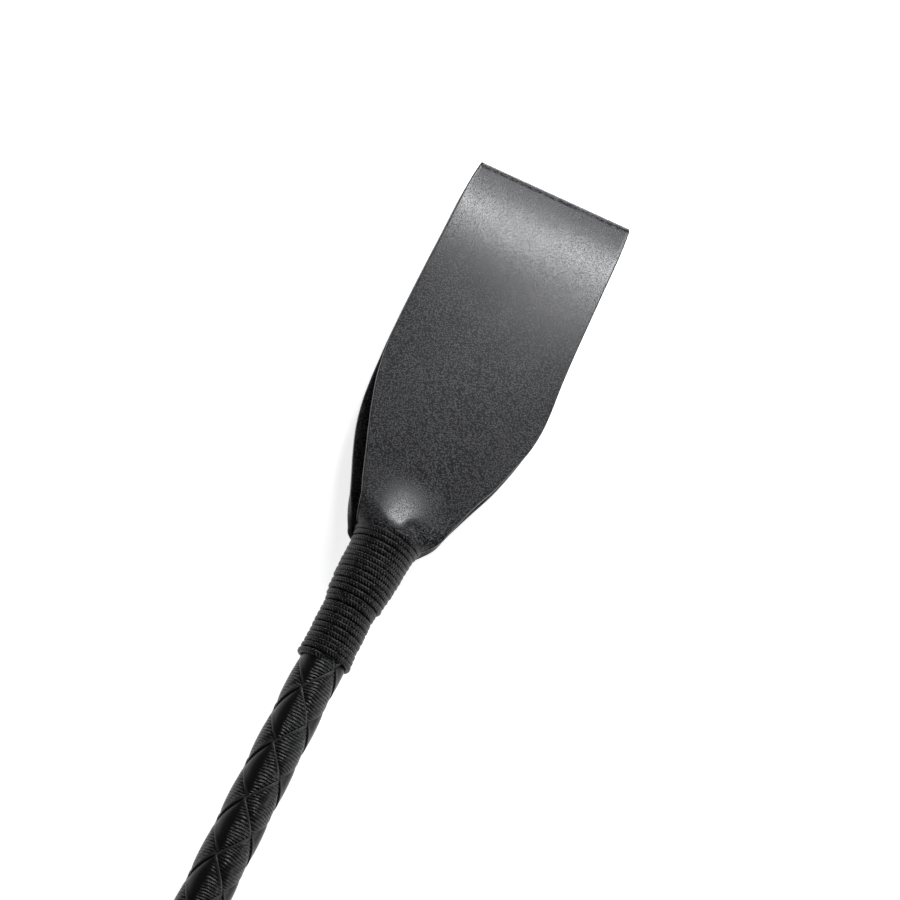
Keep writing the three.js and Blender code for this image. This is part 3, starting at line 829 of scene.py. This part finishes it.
sleeve_bore = rod_butt_radius + 0.3
sleeve_start, sleeve_end = sleeve_low[0], sleeve_high[0]
sleeve = hoop("grip_foam_sleeve", rounded(
    [(sleeve_start, sleeve_bore + 1), (sleeve_start, sleeve_high[1]),
     (sleeve_end, sleeve_high[1]), (sleeve_end, sleeve_bore),
     (sleeve_start, sleeve_bore), (sleeve_start, sleeve_bore + 1)], 0.4)[:-1], foam(), 96)
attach(sleeve, "shaft")
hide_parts("grip_sleeve")

seam_thread = stitches("grip_seam_stitches", waxed_thread())
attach(seam_thread, "shaft")

grip_inset = 0.7
bound_low, bound_high = box_mm("grip_whipping")
grip_whipping = braided_cord("grip_whipping_cord", bound_low[0] + grip_inset,
                             bound_high[0] - grip_inset, 8,
                             lambda x: cover_front(x) - 0.05, lambda x: 0, cord_finish, 9)
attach(grip_whipping, "shaft")
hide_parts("grip_whipping")

# ---------- butt cap and pin
# A moulded cap of matt black plastic over the handle's end, cross-drilled for the wrist
# strap with a flat seat at either mouth, and held by a pressed steel pin.

cap_high = box_mm("butt_cap")[1]
pin_low, pin_high = box_mm("cap_pin")
left_low, left_high = box_mm("eyelet_left")
cap_radius = cap_high[1]
cap_length = cap_high[0]
pin_x = (pin_low[0] + pin_high[0]) / 2
pin_radius = (pin_high[0] - pin_low[0]) / 2
hole_x = (left_low[0] + left_high[0]) / 2
flange_radius = (left_high[0] - left_low[0]) / 2
flange_face = left_high[1]


def stub(start, end, radius):
    """Profile of a solid cylinder."""
    return [(start, on_axis), (start, radius), (end, radius), (end, on_axis)]


def upright(piece, direction, middle):
    """Turns a piece made round the X axis to another axis, and puts it in its place."""
    turned_to = Vector((1, 0, 0)).rotation_difference(Vector(direction)).to_matrix().to_4x4()
    piece.data.transform(Matrix.Translation(Vector(middle) * MM) @ turned_to)
    return piece


def drilled(piece, *tools):
    """The piece with the tools cut out of it, and its sharp edges kept sharp."""
    for tool in tools:
        cutting = piece.modifiers.new("cut", "BOOLEAN")
        cutting.object = tool
        cutting.solver = "EXACT"
    depsgraph = bpy.context.evaluated_depsgraph_get()
    mesh = bpy.data.meshes.new_from_object(piece.evaluated_get(depsgraph))
    piece.modifiers.clear()
    piece.data = mesh
    for tool in tools:
        bpy.data.objects.remove(tool)
    mesh.shade_smooth()
    mesh.set_sharp_from_angle(angle=np.radians(35))
    return piece


def moulded_plastic():
    """Spark-eroded matt black plastic with faint scuffs."""
    look = Finish("cap_plastic", (0.012, 0.012, 0.013), 0.5)
    place = look.place()
    spark = look.noise(place, 3.5, 3.0)
    scuff = look.noise(look.place((0.15, 1.2, 1.2)), 0.9, 4.0, 0.65)
    scuffed = look.ramp(scuff, 0.60, 0.74)
    look.dull(look.ramp(scuffed, 0, 1, 0.48, 0.62))
    look.paint(look.blend(scuffed, (0.011, 0.011, 0.012), (0.022, 0.022, 0.023)))
    look.bump((spark, 0.03))
    return look.material


def metal(name, color, roughness, streak):
    """Plated or ground metal with fine streaks across streak's long axis."""
    look = Finish(name, color, roughness, Metallic=1.0)
    streaks = look.noise(look.place(streak), 1.5, 4.0)
    look.dull(look.ramp(streaks, 0.3, 0.7, roughness - 0.08, roughness + 0.10))
    darker = tuple(c * 0.7 for c in color)
    look.paint(look.blend(streaks, darker, color))
    look.bump((streaks, 0.012))
    return look.material


nose = 2.5  # radius of the cap's rounded end
socket_end = 24.0
cross_radius = 5.4  # of the hole for the strap
socket = grip_radius + 0.3
ring_low = cap_radius - 0.35  # of the moulded line near its mouth
edge_turn = np.linspace(0, np.pi / 2, 10)
cap_profile = [(nose * (1 - np.cos(t)), cap_radius - nose * (1 - np.sin(t))) for t in edge_turn]
cap_profile = [(0, on_axis), (0, 5), *cap_profile]
cap_profile += rounded([(3, cap_radius), (cap_length - 4, cap_radius),
                        (cap_length - 3.6, ring_low), (cap_length - 3.0, ring_low),
                        (cap_length - 2.6, cap_radius), (cap_length, cap_radius),
                        (cap_length, socket), (socket_end + 0.2, socket)], 0.18, 5)
cap_profile += [(socket_end, socket - 0.3), (socket_end, on_axis)]
plastic = moulded_plastic()
cap = turned("butt_cap_moulded", cap_profile, plastic, 160)
strap_hole = upright(turned("strap_hole", stub(-20, 20, cross_radius), plastic, 96),
                     (0, 1, 0), (hole_x, 0, 0))
seats = [upright(turned("seat", stub(0, 9, flange_radius + 0.3), plastic, 96),
                 (0, way, 0), (hole_x, way * (flange_face - 0.9), 0)) for way in (1, -1)]
pin_hole = upright(turned("pin_hole", stub(-20, 20, pin_radius + 0.06), plastic, 48),
                   (0, 0, 1), (pin_x, 0, 0))
cap = drilled(cap, strap_hole, *seats, pin_hole)
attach(cap, "shaft")
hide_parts("butt_cap")

pin_reach = pin_high[2]
ground_steel = metal("ground_steel", (0.56, 0.56, 0.57), 0.3, (3, 3, 0.2))
pin = upright(turned("cap_pin_ground", rounded(stub(-pin_reach, pin_reach, pin_radius), 0.22, 5),
                     ground_steel, 48), (0, 0, 1), (pin_x, 0, 0))
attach(pin, "shaft")
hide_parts("cap_pin")

# ---------- eyelets
# Two pressed eyelets of dark-plated brass, one in each mouth of the cross hole. Their
# rolled flanges keep the plastic's edge from cutting into the strap.

bore = 4.5
wall = 0.6
eyelet_depth = 5.0
dark_nickel = metal("dark_nickel", (0.30, 0.30, 0.31), 0.26, (1, 1, 1))


def eyelet_profile():
    """Round the flange's rolled rim, down the bore's mouth, and back outside the tube."""
    roll, lip = 0.3, 0.75  # radii of the rim and of the mouth
    rim = [(flange_face - roll + roll * np.sin(t), flange_radius - roll + roll * np.cos(t))
           for t in np.linspace(-np.pi / 2, np.pi / 2, 10)]
    mouth = [(flange_face - lip + lip * np.cos(t), bore + lip - lip * np.sin(t))
             for t in edge_turn]
    tail = [(flange_face - eyelet_depth, bore), (flange_face - eyelet_depth, bore + wall)]
    return rim + mouth + tail + [(flange_face - wall, bore + wall)]


for node, way in (("eyelet_left", 1), ("eyelet_right", -1)):
    ring = upright(hoop(f"{node}_pressed", eyelet_profile(), dark_nickel, 96),
                   (0, way, 0), (hole_x, 0, 0))
    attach(ring, "shaft")
    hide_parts(node)

# ---------- wrist strap and rivet
# A narrow band of black leather. It passes through the cross hole, its two legs come
# together behind the cap, and one tubular rivet closes the hand loop there.

strap_width = 8.0
strap_thickness = 1.6
strap_bend = 4.0
loop_half_width = 36.0
loop_length = 168.0
leg_offset = cap_radius + 0.7 + strap_thickness / 2
layer_pitch = strap_thickness + 0.3
side_run = -np.hypot(hole_x, cap_radius) - 1
seam_start = side_run - 18
seam_end = seam_start - 16
droop = (np.arcsin(cap_radius / np.hypot(loop_length + strap_thickness / 2, strap_width / 2))
         - np.arctan2(strap_width / 2, loop_length + strap_thickness / 2))


def strap_line():
    """The strap's middle line seen from above, with the cross hole at the origin: seam,
    one side of the cap, the hole, the other side, seam, hand loop and seam again. Points
    about 0.8 mm apart."""
    def straight(a, b):
        steps = max(int(np.hypot(b[0] - a[0], b[1] - a[1]) / 0.8), 2)
        t = np.linspace(0, 1, steps, endpoint=False)[:, None]
        return np.array(a) * (1 - t) + np.array(b) * t

    def eased(a, b, pull, steps):
        t = np.linspace(0, 1, steps, endpoint=False)[:, None]
        p = [np.array(q, float) for q in (a, (a[0] + pull, a[1]), (b[0] - pull, b[1]), b)]
        return ((1 - t) ** 3 * p[0] + 3 * t * (1 - t) ** 2 * p[1]
                + 3 * t * t * (1 - t) * p[2] + t ** 3 * p[3])

    def arc(center, radius, start, end, steps=14):
        t = np.linspace(start, end, steps, endpoint=False)
        return np.stack([center[0] + radius * np.cos(t), center[1] + radius * np.sin(t)], -1)

    corner = leg_offset - strap_bend
    far = loop_half_width - loop_length
    swing = (seam_end - far) / 2
    quarter = np.pi / 2
    return np.concatenate([
        straight((seam_end, -layer_pitch), (seam_start, -layer_pitch)),
        eased((seam_start, -layer_pitch), (side_run, -leg_offset), 9, 30),
        straight((side_run, -leg_offset), (-strap_bend, -leg_offset)),
        arc((-strap_bend, -corner), strap_bend, -quarter, 0),
        straight((0, -corner), (0, corner)),
        arc((-strap_bend, corner), strap_bend, 0, quarter),
        straight((-strap_bend, leg_offset), (side_run, leg_offset)),
        eased((side_run, leg_offset), (seam_start, layer_pitch), -9, 30),
        straight((seam_start, layer_pitch), (seam_end - 1, layer_pitch)),
        eased((seam_end - 1, layer_pitch), (far, loop_half_width), -swing, 100),
        arc((far, 0), loop_half_width, quarter, 3 * quarter, 130),
        eased((far, -loop_half_width), (seam_end - 1, 0), swing, 100),
        straight((seam_end - 1, 0), (seam_start, 0)),
        [(seam_start, 0)],
    ])


def hung(points):
    """The loop hangs down from the cross hole until its far end lies level with the
    lowest side of the cap."""
    x, y, z = points[..., 0], points[..., 1], points[..., 2]
    return np.stack([hole_x + x * np.cos(droop) - z * np.sin(droop), y,
                     x * np.sin(droop) + z * np.cos(droop)], -1)


def band(name, line, material):
    """A flat band on edge along the line, with rounded corners. Its UV runs round it in
    millimetres from the middle of one face, and along it in millimetres."""
    forward = unit(np.gradient(line, axis=0))
    normal = np.stack([-forward[:, 1], forward[:, 0]], -1)
    corner = 0.45
    half_width, half_thickness = strap_width / 2 - corner, strap_thickness / 2 - corner
    turn = np.linspace(0, np.pi / 2, 6)
    wide, high = half_width + corner * np.cos(turn), half_thickness + corner * np.sin(turn)
    face = np.linspace(1, -1, 11)[1:-1]
    across, out = ring_of((wide, face * half_width, -wide[::-1]),
                          (high, np.full(9, strap_thickness / 2), high[::-1]))
    x = line[:, None, 0] + normal[:, None, 0] * out[None]
    y = line[:, None, 1] + normal[:, None, 1] * out[None]
    grid = hung(np.stack([x, y, np.broadcast_to(across, x.shape)], -1))
    along = np.concatenate([[0], np.cumsum(np.hypot(*np.diff(line, axis=0).T))])
    piece = tube(name, grid, material, u=across, v=along)
    is_edge = np.abs(across) > half_width + corner * 0.5
    point_values(piece, "cut_edge", np.broadcast_to(is_edge, x.shape))
    return piece


def strap_leather():
    """Fine-grained black leather with a creased line beside either edge, and painted
    edges that shine a little more."""
    look = Finish("strap_leather", (0.015, 0.015, 0.016), 0.48)
    place = look.place()
    grain = look.ramp(look.cells(place, 1.3, smoothness=0.3), 0.12, 0.6, 1.0, 0.0)
    across = look.split(look.place(source="UV"))[0]
    from_middle = look.math("ABSOLUTE", across)
    from_line = look.math("ABSOLUTE", look.math("SUBTRACT", from_middle, 3.0))
    crease = look.ramp(from_line, 0.0, 0.22)
    on_edge = look.read("cut_edge")
    color = look.blend(grain, grey(0.004), (0.018, 0.018, 0.019))
    color = look.blend(crease, grey(0.004), color)
    look.paint(look.blend(on_edge, color, (0.012, 0.011, 0.011)))
    look.dull(look.ramp(on_edge, 0, 1, 0.50, 0.34))
    plain = look.rest(on_edge)
    look.bump((look.times(crease, plain), 0.18), (look.times(grain, plain), 0.07))
    return look.material


strap = band("wrist_strap_leather", strap_line(), strap_leather())
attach(strap, "wrist_loop")
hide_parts("wrist_strap")


def rivet_profile():
    """Two domed heads on a shank through the seam's three layers."""
    seat = layer_pitch + strap_thickness / 2 + 0.05
    head = 4.0
    rim, high = 0.25, 0.75
    dome = [(seat + rim + high * np.sin(t), max(head * np.cos(t), on_axis))
            for t in edge_turn[1:]]
    upper = [(seat, 1.8), (seat, head - 0.12), (seat + 0.12, head), (seat + rim, head), *dome]
    lower = [(-x, r) for x, r in upper[::-1]]
    return lower + upper


rivet = upright(turned("strap_rivet_domed", rivet_profile(), dark_nickel, 64), (0, 1, 0),
                ((seam_start + seam_end) / 2, 0, 0))
rivet_points = np.empty(len(rivet.data.vertices) * 3)
rivet.data.vertices.foreach_get("co", rivet_points)
rivet.data.vertices.foreach_set("co", (hung(rivet_points.reshape(-1, 3) / MM) * MM).ravel())
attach(rivet, "wrist_loop")
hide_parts("strap_rivet")

# ---------- floor and light
# A pale light table under the lowest side of the crop, a small soft light beyond the
# tongue, and a broad one on the right.

floor_level = cad_box[0][2]
reach = 6.0  # of the floor to every side
floor_finish = Finish("studio_floor", (0.92, 0.92, 0.92), 0.9, Specular_IOR_Level=0.0,
                      Emission_Color=(1, 1, 1, 1), Emission_Strength=0.75)
floor = new_piece("studio_floor", [
    (x * reach, y * reach, floor_level) for x, y in ((-1, -1), (1, -1), (1, 1), (-1, 1))],
    [(0, 1, 2, 3)], floor_finish.material)

world = bpy.data.worlds.new("studio")
world.use_nodes = True
backdrop = world.node_tree.nodes["Background"].inputs
backdrop["Color"].default_value = (1, 1, 1, 1)
backdrop["Strength"].default_value = 0.15
bpy.context.scene.world = world


def soft_light(name, place, aim, size, power):
    """A rectangular soft light at place, turned towards aim, in metres and watts."""
    lamp = bpy.data.lights.new(name, "AREA")
    lamp.shape = "RECTANGLE"
    lamp.size, lamp.size_y = size
    lamp.energy = power
    lamp.color = (0.97, 0.98, 1.0)
    holder = bpy.data.objects.new(name, lamp)
    direction = Vector(aim) - Vector(place)
    holder.rotation_euler = direction.to_track_quat("-Z", "Y").to_euler()
    holder.location = place
    holder.visible_camera = False
    bpy.context.scene.collection.objects.link(holder)


aim = (0.46, 0, 0)
soft_light("beyond", (0.580, -0.01, 0.135), (0.5, 0, 0), (0.12, 0.03), 0.51)
soft_light("side", (0.55, -1.10, 0.50), aim, (0.9, 0.4), 6)

# ---------- camera
# Above the crop, a little towards its handle and its left side, looking down on the
# tongue, and rolled so that the crop leans to the right in the view.

bpy.context.scene.view_settings.view_transform = "Standard"

lean = np.radians(18)  # the tongue leans this far away from the camera
roll = np.radians(3)
tilt = np.radians(26.7)  # of the crop in the view
distance = 0.85
frame_width = 0.2255  # seen across the view at the crop
target_past, target_right = 27.0 * MM, 0.0045  # of the view's middle
back = Vector((-np.sin(lean), np.cos(lean) * np.sin(roll), np.cos(lean) * np.cos(roll)))
crop_way = (Vector((1, 0, 0)) - back * back.x).normalized()
right_way = crop_way.cross(back)
up_way = crop_way * np.cos(tilt) - right_way * np.sin(tilt)
target = Vector((neck * MM + target_past, 0, 0)) + right_way * target_right
camera_data = bpy.data.cameras.new("camera")
camera_data.lens = camera_data.sensor_width * distance / frame_width
camera_data.clip_start = 0.01
camera = bpy.data.objects.new("camera", camera_data)
side_way = up_way.cross(back)
camera.matrix_world = Matrix.Translation(target + back * distance) @ Matrix(
    (side_way, up_way, back)).transposed().to_4x4()
bpy.context.scene.collection.objects.link(camera)
bpy.context.scene.camera = camera
